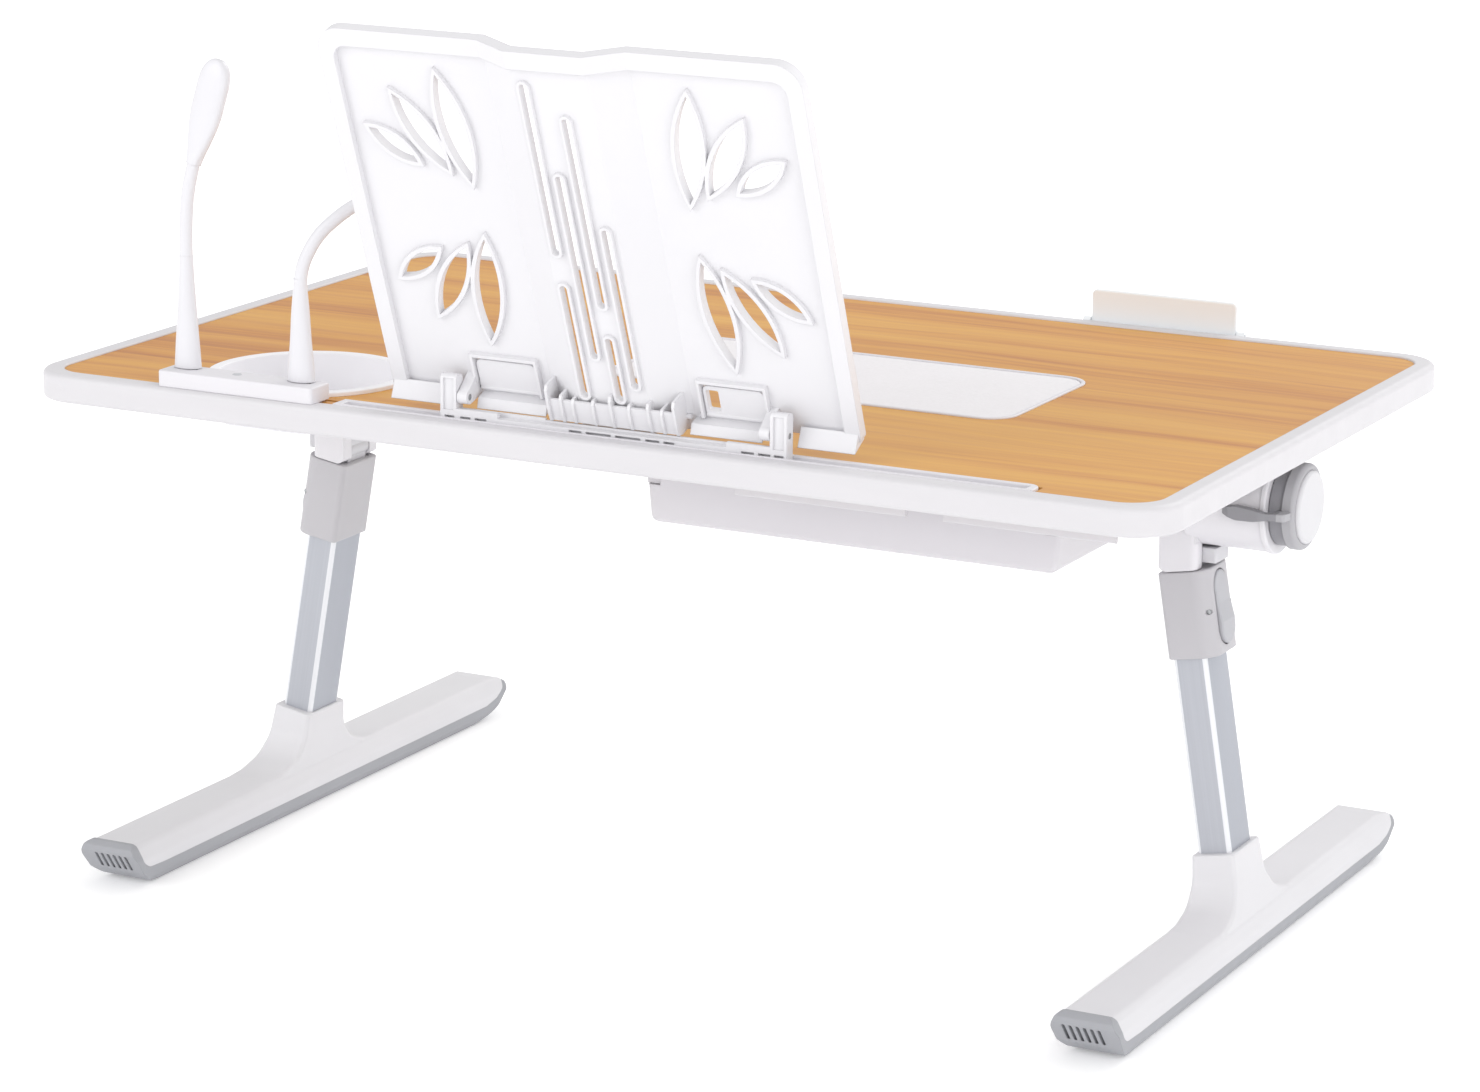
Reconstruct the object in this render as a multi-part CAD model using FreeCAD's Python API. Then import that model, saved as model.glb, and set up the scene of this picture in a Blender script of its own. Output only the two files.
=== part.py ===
import FreeCAD, Part
import json
import math
import os

V = FreeCAD.Vector
os.makedirs("parts", exist_ok=True)

# ---------------------------------------------------------------- driving dimensions (mm)
W, D = 600.0, 380.0            # table top, along X and Y
H = 264.0                      # top of the rim above the floor
RIM_H = 14.0                   # height of the edge trim
RIM_W = 9.7                    # width of the edge trim seen from above
R_OUT, R_IN = 25.0, 17.3       # corner radii of the trim, outside and inside
BOARD_TOP = H - 1.0            # the board lies 1 mm below the rim
ZB = H - RIM_H                 # underside of the table

SPLAY = 9.65                   # the legs lean outwards, degrees
LEG_X, LEG_Y = 268.9, 5.0      # where the leg's axis meets the floor (right leg)
TUBE_W, TUBE_D, TUBE_T, TUBE_R = 17.2, 27.5, 1.4, 2.2
POST_W, POST_D = 14.0, 24.3
U_NECK, U_COL0, U_COL1 = 53.0, 149.4, 192.0   # stations along the leg's axis
COL_IN, COL_OUT, COL_Y = 10.0, 15.0, 16.5     # collar, from the leg's axis
HEIGHT_TRAVEL = 75.0
FOOT_X = 265.0

TILT_Y, TILT_Z = 5.0, 225.0    # tilt axis, along X
BARREL_R, BARREL_X0, BARREL_X1 = 23.4, 241.0, 283.0
KNOB_X0, KNOB_X1, KNOB_R = 283.4, 296.0, 20.7
BOLT_R = 4.0
FOLD_X, FOLD_Z, FOLD_R = 232.0, 194.5, 2.4    # fold axis, along Y
TILT_MAX, FOLD_MAX = 35.0, 99.0

DR_X0, DR_X1 = 13.0, 226.0     # drawer and its rails
DR_Z0 = 212.5
DRAWER_TRAVEL = 165.0

XS, YS, ZS, LEAN = 21.0, -166.2, 272.0, 21.0  # foot of the book stand's panel, and its lean
PW, PH = 123.0, 193.0          # half width and height of the panel
PIV_Y, PIV_Z = -174.8, 274.0   # the panel's pivot
STOP_Y, STOP_Z = 192.5, 262.6  # the stopper's pivot

HUB_X0, HUB_X1, HUB_Y0, HUB_Y1, HUB_Z = -222.5, -135.4, -187.5, -170.6, 272.0
LAMP_Y = -176.0
CUP_X, CUP_Y, CUP_R = -174.0, -127.5, 50.5

NODES = {}


# ---------------------------------------------------------------- helpers
def box(x0, x1, y0, y1, z0, z1):
    return Part.makeBox(x1 - x0, y1 - y0, z1 - z0, V(x0, y0, z0))


def cyl(p, d, r, h):
    return Part.makeCylinder(r, h, V(*p), V(*d))


def fuse(*s):
    out = s[0]
    if len(s) > 1:
        out = out.multiFuse(list(s[1:]))
    return out.removeSplitter()


def cut(a, *s):
    for x in s:
        a = a.cut(x)
    return a


def rpoly(pts, radii):
    """A closed wire through pts with a rounded corner of the given radius at each."""
    n = len(pts)
    if not isinstance(radii, (list, tuple)):
        radii = [radii] * n
    P = [V(*p) for p in pts]
    ends = []
    for i in range(n):
        a, b, c = P[i - 1], P[i], P[(i + 1) % n]
        r = radii[i]
        d1, d2 = (a - b).normalize(), (c - b).normalize()
        if r <= 0:
            ends.append((b, None, b))
            continue
        half = math.acos(max(-1, min(1, d1.dot(d2)))) / 2
        t = r / math.tan(half)
        s, e = b + d1 * t, b + d2 * t
        bis = (d1 + d2).normalize()
        centre = b + bis * (r / math.sin(half))
        ends.append((s, centre - bis * r, e))
    edges = []
    for i in range(n):
        s, m, e = ends[i]
        if m is not None:
            edges.append(Part.Arc(s, m, e).toShape())
        nxt = ends[(i + 1) % n][0]
        if (nxt - e).Length > 1e-6:
            edges.append(Part.LineSegment(e, nxt).toShape())
    return Part.Wire(edges)


def solid_of(wire, vec):
    return Part.Face(wire).extrude(V(*vec))


def rrect_z(x0, x1, y0, y1, z0, z1, r):
    w = rpoly([(x0, y0, z0), (x1, y0, z0), (x1, y1, z0), (x0, y1, z0)], r)
    return solid_of(w, (0, 0, z1 - z0))


def prism_x(yz, x0, x1, r=0):
    return solid_of(rpoly([(x0, y, z) for y, z in yz], r), (x1 - x0, 0, 0))


def prism_y(xz, y0, y1, r=0):
    return solid_of(rpoly([(x, y0, z) for x, z in xz], r), (0, y1 - y0, 0))


def prism_z(xy, z0, z1, r=0):
    return solid_of(rpoly([(x, y, z0) for x, y in xy], r), (0, 0, z1 - z0))


def round_edges(s, r, pick, name=""):
    """Fillets the edges that pick chooses; tries a smaller radius, then one by one."""
    edges = [e for e in s.Edges if pick(e)]
    if not edges:
        print("no edges for", name)
        return s
    for k in (1.0, 0.7, 0.4):
        try:
            f = s.makeFillet(r * k, edges)
            if f.isValid() and f.Volume > 0.5 * s.Volume and len(f.Solids) == len(s.Solids):
                return f
        except Exception:
            pass
    print("fillet left out on", name)
    return s


def at(e, axis, val, tol=0.05):
    b = e.BoundBox
    lo, hi = {"x": (b.XMin, b.XMax), "y": (b.YMin, b.YMax), "z": (b.ZMin, b.ZMax)}[axis]
    return abs(lo - val) < tol and abs(hi - val) < tol


def along(e, axis, least=1.0):
    b = e.BoundBox
    d = {"x": b.XLength, "y": b.YLength, "z": b.ZLength}
    return d[axis] > least and all(v < 0.02 for k, v in d.items() if k != axis)


def leg(s):
    """From the right leg's own frame (out, y, up the leg) to the table's."""
    s = s.copy()
    s.rotate(V(0, 0, 0), V(0, 1, 0), -SPLAY)
    s.translate(V(LEG_X, LEG_Y, 0))
    return s


def mirror(s):
    return s.mirror(V(0, 0, 0), V(1, 0, 0))


def both(name, right):
    NODES[name + "_right"] = right
    NODES[name + "_left"] = mirror(right)


def panel(s):
    """From the panel's own frame (x, towards the reader, up) to the table's."""
    s = s.copy()
    s.rotate(V(0, 0, 0), V(1, 0, 0), LEAN)
    s.translate(V(XS, YS, ZS))
    return s


def tube_path(pts, share=0.45):
    """Straight runs joined by tangent arcs."""
    P = [V(*p) for p in pts]
    edges, last, radii = [], P[0], []
    for i in range(1, len(P) - 1):
        a, b, c = P[i - 1], P[i], P[i + 1]
        d1, d2 = (a - b).normalize(), (c - b).normalize()
        half = math.acos(max(-1, min(1, d1.dot(d2)))) / 2
        t = share * min((a - b).Length, (c - b).Length)
        r = t * math.tan(half)
        radii.append(round(r, 1))
        s, e = b + d1 * t, b + d2 * t
        bis = (d1 + d2).normalize()
        m = b + bis * (r / math.sin(half) - r)
        edges.append(Part.LineSegment(last, s).toShape())
        edges.append(Part.Arc(s, m, e).toShape())
        last = e
    edges.append(Part.LineSegment(last, P[-1]).toShape())
    return Part.Wire(edges), radii


def pipe(pts, r):
    wire, radii = tube_path(pts)
    d = (V(*pts[1]) - V(*pts[0])).normalize()
    prof = Part.Wire([Part.Circle(V(*pts[0]), d, r).toShape()])
    mk = Part.BRepOffsetAPI.MakePipeShell(wire)
    mk.add(prof)
    mk.setFrenetMode(True)
    mk.build()
    mk.makeSolid()
    s = mk.shape()
    print("neck radii", radii, "volume ratio", round(s.Volume / (math.pi * r * r * wire.Length), 4))
    return s


# ---------------------------------------------------------------- table top
hw, hd = W / 2, D / 2
ix, iy = hw - RIM_W, hd - RIM_W

trim = rrect_z(-hw, hw, -hd, hd, ZB, H, R_OUT)
trim = round_edges(trim, 3.0, lambda e: at(e, "z", H), "trim top")
trim = round_edges(trim, 2.0, lambda e: at(e, "z", ZB), "trim bottom")
trim = cut(trim, rrect_z(-ix, ix, -iy, iy, ZB - 1, H + 1, R_IN))
trim = round_edges(trim, 0.9, lambda e: at(e, "z", H) and abs(e.BoundBox.XMin) < ix + 0.1
                   and abs(e.BoundBox.XMax) < ix + 0.1 and abs(e.BoundBox.YMin) < iy + 0.1
                   and abs(e.BoundBox.YMax) < iy + 0.1, "trim inner")
# the trim's barb, which fits a groove in the board's edge
barb = cut(rrect_z(-ix - 0.5, ix + 0.5, -iy - 0.5, iy + 0.5, 254.0, 256.4, R_IN),
           rrect_z(-ix + 4, ix - 4, -iy + 4, iy - 4, 253, 258, R_IN - 4))
trim = fuse(trim, barb)

g = 0.1
board = rrect_z(-ix + g, ix - g, -iy + g, iy - g, ZB, BOARD_TOP, R_IN - g)
board = cut(board, cut(rrect_z(-ix - 2, ix + 2, -iy - 2, iy + 2, 253.9, 256.5, R_IN + 2),
                       rrect_z(-ix + 4.1, ix - 4.1, -iy + 4.1, iy - 4.1, 252, 258, R_IN - 4.1)))
HUB_CUT = box(HUB_X0 + 2, HUB_X1 - 2, -200, -171.5, ZB - 1, H)
STRIP_CUT = box(-128.3, 234.3, -200, -168.4, 252.0, H)
PAD = (-55.0, 165.0, -54.0, 54.0)
board = cut(board, HUB_CUT, STRIP_CUT,
            rrect_z(PAD[0] - g, PAD[1] + g, PAD[2] - g, PAD[3] + g, BOARD_TOP - 1.2, H, 15.1),
            cyl((CUP_X, CUP_Y, ZB - 1), (0, 0, 1), 47.0, 20))
# the barb stops where the hub and the slot strip stand
trim = cut(trim, box(HUB_X0 + 1.9, HUB_X1 - 1.9, -iy + 0.01, -160, 252, 262),
           box(-128.4, 234.4, -iy + 0.01, -160, 252, 262))

frame_w = 2.2
pad_frame = cut(rrect_z(*PAD[:4], BOARD_TOP - 1.2, BOARD_TOP + 0.8, 15.0),
                rrect_z(PAD[0] + frame_w, PAD[1] - frame_w, PAD[2] + frame_w, PAD[3] - frame_w,
                        BOARD_TOP - 2, BOARD_TOP + 2, 15.0 - frame_w))
pad_frame = round_edges(pad_frame, 0.5, lambda e: at(e, "z", BOARD_TOP + 0.8), "pad frame")
pad = rrect_z(PAD[0] + frame_w, PAD[1] - frame_w, PAD[2] + frame_w, PAD[3] - frame_w,
              BOARD_TOP - 1.2, BOARD_TOP + 0.3, 15.0 - frame_w)

cup_flat = -170.2
cup = fuse(cyl((CUP_X, CUP_Y, BOARD_TOP), (0, 0, 1), CUP_R, 2.2),
           cyl((CUP_X, CUP_Y, 244.5), (0, 0, 1), 46.8, BOARD_TOP - 244.5))
cup = cut(cup, box(-300, 0, -250, cup_flat, 200, 300))
inner = cut(cyl((CUP_X, CUP_Y, 246.5), (0, 0, 1), 45.0, 30), box(-300, 0, -250, cup_flat + 1.8, 200, 300))
cup = cut(cup, inner)
cup = round_edges(cup, 0.9, lambda e: at(e, "z", BOARD_TOP + 2.2), "cup rim")
board = cut(board, box(CUP_X - 46, CUP_X + 46, -172, cup_flat + 0.2, ZB - 1, H))
# a narrow bridge of the board stays between the cup and the hub
NODES["cup_holder_insert"] = cup

strip = prism_z([(-128.2, -iy + 0.05), (234.2, -iy + 0.05), (234.2, -168.5), (-128.2, -168.5)],
                252.0, H + 0.3, [0, 0, 6.0, 0])
strip = cut(strip, rrect_z(-124.0, 230.0, -178.3, -171.3, 255.5, H + 5, 1.5))
strip = round_edges(strip, 0.6, lambda e: at(e, "z", H + 0.3), "strip")
NODES["slot_strip"] = strip

# ---------------------------------------------------------------- hub
lower = box(HUB_X0 + 2.4, HUB_X1 - 2.4, -iy + 0.3, -171.8, 253.2, H + 0.6)
upper = box(HUB_X0, HUB_X1, HUB_Y0, HUB_Y1, H + 0.05, HUB_Z)
upper = round_edges(upper, 1.6, lambda e: along(e, "z"), "hub sides")
upper = round_edges(upper, 1.0, lambda e: at(e, "z", HUB_Z), "hub top")
hub = fuse(lower, upper)
hub = cut(hub, box(HUB_X0 + 3.6, HUB_X1 - 3.6, -179.0, -172.9, 253, HUB_Z - 1.5),
          box(HUB_X0 + 3.6, HUB_X1 - 3.6, HUB_Y0 + 1.6, -172.4, H + 1.3, HUB_Z - 1.5))
PORT_X = (-212.4, -148.0)
ports = []
for px in PORT_X:
    hub = cut(hub, box(px - 6.6, px + 6.6, LAMP_Y - 2.9, LAMP_Y + 2.9, 257, 275))
    ports.append(cut(box(px - 6.6, px + 6.6, LAMP_Y - 2.85, LAMP_Y + 2.85, 258.0, HUB_Z),
                     box(px - 6.2, px + 6.2, LAMP_Y - 2.4, LAMP_Y + 2.4, 258.6, 275)))
# the inlet for the power lead, in the left end
block = solid_of(rpoly([(HUB_X0, -184.6, 266.0), (HUB_X0, -175.6, 266.0), (HUB_X0, -175.6, 269.4), (HUB_X0, -184.6, 269.4)], 1.5), (3.4, 0, 0))
hub = cut(hub, block)
ports.append(cut(block, solid_of(rpoly([(HUB_X0 - 1, -184.1, 266.5), (HUB_X0 - 1, -176.1, 266.5), (HUB_X0 - 1, -176.1, 268.9), (HUB_X0 - 1, -184.1, 268.9)], 1.1), (3.6, 0, 0))))
NODES["usb_hub_housing"] = hub
NODES["usb_ports"] = Part.makeCompound(ports)
NODES["hub_circuit_board"] = box(HUB_X0 + 4.2, HUB_X1 - 4.2, -178.7, -173.2, 255.0, 256.4)
NODES["hub_bottom_cover"] = box(HUB_X0 + 2.4, HUB_X1 - 2.4, -iy + 0.3, -171.8, 251.8, 253.2)

# ---------------------------------------------------------------- stopper on the user's edge
sx0, sx1 = 105.0, 185.0
plate = box(sx0, sx1, 190.9, 194.1, STOP_Z, 279.8)
plate = round_edges(plate, 2.5, lambda e: along(e, "y") and at(e, "z", 279.8), "stopper corners")
plate = round_edges(plate, 0.9, lambda e: at(e, "z", 279.8), "stopper top")
plate = fuse(plate, cyl((sx0, STOP_Y, STOP_Z), (1, 0, 0), 1.6, sx1 - sx0),
             cyl((sx0 - 2.8, STOP_Y, STOP_Z), (1, 0, 0), 1.2, sx1 - sx0 + 5.6))
NODES["stopper_plate"] = plate
lugs = []
for x0 in (sx0 - 4.5, sx1 + 0.5):
    lug = fuse(box(x0, x0 + 4.0, hd, STOP_Y, 257.5, STOP_Z + 0.0),
               box(x0, x0 + 4.0, hd, STOP_Y, STOP_Z, STOP_Z + 0.6),
               cyl((x0, STOP_Y, STOP_Z), (1, 0, 0), 2.4, 4.0),
               prism_x([(hd, 257.5), (STOP_Y, 257.5), (STOP_Y + 2.4, STOP_Z), (hd, STOP_Z)], x0, x0 + 4.0))
    lug = cut(lug, cyl((x0 - 1, STOP_Y, STOP_Z), (1, 0, 0), 1.26, 6.0))
    lugs.append(lug)
NODES["stopper_lugs"] = Part.makeCompound(lugs)

# ---------------------------------------------------------------- drawer
mx = (DR_X0 + DR_X1) / 2
rails = fuse(box(DR_X0, DR_X0 + 7, -126, 170, 231, ZB), box(DR_X1 - 7, DR_X1, -126, 170, 231, ZB),
             box(DR_X0, 272, -171, -122, 247.6, ZB),
             prism_x([(-171, ZB), (-171, 242.3), (-169.2, 242.3), (-167.5, 247.6), (-167.5, ZB)], 82.0, 168.5, [0, 0.6, 0.6, 0, 0]),
             prism_x([(-171, ZB), (-171, 242.3), (-169.2, 242.3), (-167.5, 247.6), (-167.5, ZB)], 187.0, 271.0, [0, 0.6, 0.6, 0, 0]))
rails = cut(rails, box(DR_X0 + 3.5, DR_X0 + 8, -123.9, 171, 233.5, 237.0),
            box(DR_X1 - 8, DR_X1 - 3.5, -123.9, 171, 233.5, 237.0))
rail_screws = []
for x in (DR_X0 + 3.5, DR_X1 - 3.5):
    for y in (-95.0, 25.0, 145.0):
        rails = cut(rails, cyl((x, y, 230), (0, 0, 1), 3.1, 10.0), cyl((x, y, 239), (0, 0, 1), 1.6, 12))
        board = cut(board, cyl((x, y, ZB - 1), (0, 0, 1), 1.6, 9.0))
        s = fuse(cyl((x, y, 237.4), (0, 0, 1), 2.8, 2.6), cyl((x, y, 240.0), (0, 0, 1), 1.5, 17.5))
        s = cut(s, box(x - 2.0, x + 2.0, y - 0.35, y + 0.35, 237.0, 238.4),
                box(x - 0.35, x + 0.35, y - 2.0, y + 2.0, 237.0, 238.4))
        rail_screws.append(s)
NODES["drawer_rails"] = rails
NODES["drawer_rail_screws"] = Part.makeCompound(rail_screws)

lo = prism_y([(DR_X0 + 2.2, DR_Z0), (DR_X1 - 2.2, DR_Z0), (DR_X1 - 0.4, 230.7), (DR_X0 + 0.4, 230.7)], -127.5, 171, [4, 4, 0, 0])
lo = round_edges(lo, 2.5, lambda e: at(e, "y", -127.5) and e.BoundBox.ZMin < 230, "drawer back")
up = box(DR_X0 + 7.5, DR_X1 - 7.5, -127.5, 171, 229.0, 246.0)
fl = [box(DR_X0 + 3.9, DR_X0 + 8, -123.0, 171, 233.9, 236.6), box(DR_X1 - 8, DR_X1 - 3.9, -123.0, 171, 233.9, 236.6)]
front = prism_y([(DR_X0, DR_Z0), (DR_X1, DR_Z0), (DR_X1, 244), (DR_X0, 244)], 171, 177, [5, 5, 3, 3])
front = round_edges(front, 1.6, lambda e: at(e, "y", 177), "drawer front")
tray = fuse(lo, up, *fl, front)
tray = cut(tray, prism_y([(DR_X0 + 4.6, DR_Z0 + 2.5), (DR_X1 - 4.6, DR_Z0 + 2.5), (DR_X1 - 3.6, 228.4), (DR_X0 + 3.6, 228.4)], -125.0, 168.5, [4, 4, 0, 0]),
           box(DR_X0 + 10, DR_X1 - 10, -121.0, 168.5, DR_Z0 + 3, 250))
# finger pull under the front's lower edge
tray = cut(tray, cyl((mx, 182.0, 207.0), (1, 0, 0), 10.0, 35.0), cyl((mx, 182.0, 207.0), (-1, 0, 0), 10.0, 35.0))
NODES["drawer_tray"] = tray

# ---------------------------------------------------------------- hinge base, fixed under the board
hb = fuse(rrect_z(228.0, 291.0, -30.0, 40.0, 246.5, ZB, 4.0),
          box(228.0, 240.4, -1.0, 11.0, TILT_Z, ZB),
          cyl((228.0, TILT_Y, TILT_Z), (1, 0, 0), 10.3, 12.4),
          prism_x([(-23.2, 234.0), (-19.7, 234.0), (-19.7, ZB), (-23.2, ZB)], 246.0, 275.5, [1.2, 1.2, 0, 0]),
          prism_x([(29.7, 234.0), (33.2, 234.0), (33.2, ZB), (29.7, ZB)], 246.0, 275.5, [1.2, 1.2, 0, 0]))
hb = cut(hb, box(240.5, 300.0, -9.0, 19.0, 240.0, ZB + 1))
hb = cut(hb, box(275.5, 300.0, -16.5, 26.5, 240.0, ZB + 1))
HEX = [(TILT_Y + 7.5 * math.cos(math.radians(a)), TILT_Z + 7.5 * math.sin(math.radians(a))) for a in range(0, 360, 60)]
HEXP = [(TILT_Y + 7.7 * math.cos(math.radians(a)), TILT_Z + 7.7 * math.sin(math.radians(a))) for a in range(0, 360, 60)]
hb = cut(hb, prism_x(HEXP, 227.0, 231.6), cyl((230, TILT_Y, TILT_Z), (1, 0, 0), BOLT_R + 0.05, 20))
screws = []
for x, y in ((234.0, -24.0), (234.0, 34.0), (284.5, -24.0), (284.5, 34.0)):
    hb = cut(hb, cyl((x, y, 240), (0, 0, 1), 1.7, 12))
    for sx in (x, -x):
        board = cut(board, cyl((sx, y, ZB - 1), (0, 0, 1), 1.6, 9.0))
        s = fuse(cyl((sx, y, 244.3), (0, 0, 1), 3.2, 2.2), cyl((sx, y, 246.0), (0, 0, 1), 1.5, 11.5))
        s = cut(s, box(sx - 2.2, sx + 2.2, y - 0.4, y + 0.4, 243.5, 245.3), box(sx - 0.4, sx + 0.4, y - 2.2, y + 2.2, 243.5, 245.3))
        screws.append(s)
both("hinge_base", hb)
NODES["hinge_screws"] = Part.makeCompound(screws)
bolt = fuse(prism_x(HEX, 228.3, 231.5), cyl((231.0, TILT_Y, TILT_Z), (1, 0, 0), BOLT_R, 61.0))
both("clamp_bolt", bolt)

# ---------------------------------------------------------------- tilt barrel with the fold hinge's two cheeks
barrel = cyl((BARREL_X0, TILT_Y, TILT_Z), (1, 0, 0), BARREL_R, BARREL_X1 - BARREL_X0)
barrel = fuse(barrel, cyl((BARREL_X1 - 2.6, TILT_Y, TILT_Z), (1, 0, 0), BARREL_R + 0.7, 2.6))
barrel = round_edges(barrel, 1.0, lambda e: at(e, "x", BARREL_X1), "barrel end")
cheeks = []
for y0, y1, ry in ((-11.5, -4.0, -11.5), (14.0, 21.5, 21.5)):
    c = box(227.3, 246.7, y0, y1, 180.0, 212.0)
    c = round_edges(c, 3.5, lambda e: along(e, "z") and at(e, "x", 246.7) and at(e, "y", ry), "cheek side")
    c = round_edges(c, 1.0, lambda e: along(e, "z") and at(e, "x", 227.3) and at(e, "y", ry), "cheek side")
    # the lower edge follows the collar's top, and its inner corner is turned about the fold axis
    c = cut(c, leg(box(-60, 60, -60, 60, 100, U_COL1 + 0.5)))
    corner = leg(box(-14.0, -3.8, -60, 60, U_COL1, 197.9))
    keep = cyl((FOLD_X, y0 - 1, FOLD_Z), (0, 1, 0), 5.6, y1 - y0 + 2)
    c = cut(c, corner.cut(keep))
    cheeks.append(c)
tb = fuse(barrel, *cheeks, box(227.3, 246.7, -4.5, 14.5, 204.2, 212.0), box(241.0, 246.7, -11.0, 21.0, 204.2, 222.0))
tb = cut(tb, cyl((240, TILT_Y, TILT_Z), (1, 0, 0), BOLT_R + 0.08, 50),
         cyl((FOLD_X, -10.1, FOLD_Z), (0, 1, 0), FOLD_R + 0.02, 30.2))
both("tilt_barrel", tb)
both("fold_pin", cyl((FOLD_X, -10.0, FOLD_Z), (0, 1, 0), FOLD_R, 30.0))

# clamp lever: skirt round the bolt, arm along the barrel; white cap on its face
skirt = cyl((KNOB_X0, TILT_Y, TILT_Z), (1, 0, 0), KNOB_R, KNOB_X1 - KNOB_X0)
skirt = round_edges(skirt, 2.2, lambda e: at(e, "x", KNOB_X1), "knob rim")
skirt = cut(skirt, cyl((294.2, TILT_Y, TILT_Z), (1, 0, 0), 17.6, 5.0), cyl((270, TILT_Y, TILT_Z), (1, 0, 0), BOLT_R + 0.08, 40))
# the rear of the skirt is waisted behind the rim
waist = cut(cyl((KNOB_X0 - 1, TILT_Y, TILT_Z), (1, 0, 0), 30, 7.5), cyl((KNOB_X0 - 2, TILT_Y, TILT_Z), (1, 0, 0), KNOB_R - 1.2, 12))
skirt = cut(skirt, waist)
plan = prism_z([(262.5, -21.0), (266.0, -23.4), (282.0, -24.9), (294.0, -22.6), (295.0, -17.0), (294.0, -12.0), (288.5, -12.0), (287.5, -19.6), (284.5, -21.0), (278.0, -20.4), (262.5, -19.4)],
               TILT_Z - 8, TILT_Z + 8, [0.7, 2.0, 6, 2.5, 0, 0, 0, 1.0, 1.5, 2.0, 0.6])
side = prism_y([(262.0, TILT_Z + 1.8), (270.0, TILT_Z + 3.4), (279.0, TILT_Z + 2.6), (285.0, TILT_Z + 1.5), (296.0, TILT_Z + 1.6),
                (296.0, TILT_Z - 2.0), (285.0, TILT_Z - 1.9), (279.0, TILT_Z - 3.0), (270.0, TILT_Z - 3.4), (262.0, TILT_Z - 1.2)],
               -30, -10, [1.2, 6, 10, 10, 0, 0, 10, 10, 6, 1.2])
arm = plan.common(side)
lever = fuse(skirt, cut(arm, cyl((270, TILT_Y, TILT_Z), (1, 0, 0), 18.4, 40)))
both("tilt_lever", lever)
cap = cyl((294.2, TILT_Y, TILT_Z), (1, 0, 0), 17.5, 3.6)
cap = round_edges(cap, 1.6, lambda e: at(e, "x", 297.8), "knob cap")
both("knob_cap", cut(cap, box(290, 294.1, -30, 40, 180, 260)))

# ---------------------------------------------------------------- post: slides in the tube, folds on the pin
post = prism_z([(-POST_W / 2, -POST_D / 2), (POST_W / 2, -POST_D / 2), (POST_W / 2, POST_D / 2), (-POST_W / 2, POST_D / 2)], 85.0, 191.4, 2.0)
post = cut(post, prism_z([(-5.4, -10.5), (5.4, -10.5), (5.4, 10.5), (-5.4, 10.5)], 84.0, 182.0, 1.5))
for k in range(6):
    post = cut(post, box(4.0, 9.0, -4.0, 4.0, 92.0 + 12.0 * k, 96.5 + 12.0 * k))
tongue = box(-7.0, 7.0, -8.5, 8.5, 191.0, 215.0)
post = leg(fuse(post, tongue))
shoulder = box(238.0, 253.6, -3.5, 13.5, 194.0, 201.2)
shoulder = round_edges(shoulder, 1.2, lambda e: along(e, "z") and at(e, "x", 253.6), "shoulder")
post = fuse(post, cyl((FOLD_X, -3.5, FOLD_Z), (0, 1, 0), 4.4, 17.0), shoulder)
post = cut(post, box(200, 300, -40, 50, 201.2, 240.0), cyl((FOLD_X, -20, FOLD_Z), (0, 1, 0), FOLD_R + 0.06, 60))
both("fold_post", post)

# ---------------------------------------------------------------- collar, button, tube
cr = [2.5, 8.5, 8.5, 2.5]
col = prism_z([(-COL_IN, -COL_Y), (COL_OUT, -COL_Y), (COL_OUT, COL_Y), (-COL_IN, COL_Y)], U_COL0, U_COL1, cr)
col = round_edges(col, 0.8, lambda e: at(e, "z", U_COL1) or at(e, "z", U_COL0), "collar ends")
tube_out = prism_z([(-TUBE_W / 2, -TUBE_D / 2), (TUBE_W / 2, -TUBE_D / 2), (TUBE_W / 2, TUBE_D / 2), (-TUBE_W / 2, TUBE_D / 2)], 24.0, 188.0, TUBE_R)
tw, td = TUBE_W / 2 - TUBE_T, TUBE_D / 2 - TUBE_T
tube_in = prism_z([(-tw, -td), (tw, -td), (tw, td), (-tw, td)], 10.0, 200.0, TUBE_R - 1.0)
tube = cut(tube_out, tube_in)
BU0, BU1, BY, BW, BU = 153.0, 190.0, 8.6, 12.8, 171.5
pocket = solid_of(rpoly([(9.4, -BY, BU0), (9.4, BY, BU0), (9.4, BY, BU1), (9.4, -BY, BU1)], BY - 0.05), (10, 0, 0))
col = cut(col, cut(tube_out, box(-50, 50, -50, 50, 188.0, 260)),
          box(-POST_W / 2 - 0.2, POST_W / 2 + 0.2, -POST_D / 2 - 0.2, POST_D / 2 + 0.2, 180, 200), pocket,
          cyl((BW, -30, BU), (0, 1, 0), 1.25, 60))
b_out = solid_of(rpoly([(8, -BY + 0.5, BU0 + 0.5), (8, BY - 0.5, BU0 + 0.5), (8, BY - 0.5, BU1 - 0.5), (8, -BY + 0.5, BU1 - 0.5)], BY - 0.55), (12, 0, 0))
button = b_out.common(prism_y([(11.2, 150), (16.4, 150), (17.2, 165), (16.0, 174), (15.4, 193), (11.2, 193)], -12, 12))
button = round_edges(button, 0.9, lambda e: e.BoundBox.XMin > 15.2 and (abs(e.BoundBox.YMin) > 1 or abs(e.BoundBox.YMax) > 1) and not along(e, "y"), "button")
button = cut(fuse(button, cyl((BW, -BY + 0.6, BU), (0, 1, 0), 2.6, 2 * BY - 1.2)), cyl((BW, -30, BU), (0, 1, 0), 1.25, 60))
both("collar", leg(col))
both("leg_tube", leg(tube))
both("height_button", leg(button))
both("button_pin", leg(cyl((BW, -13.2, BU), (0, 1, 0), 1.2, 26.4)))

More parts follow.
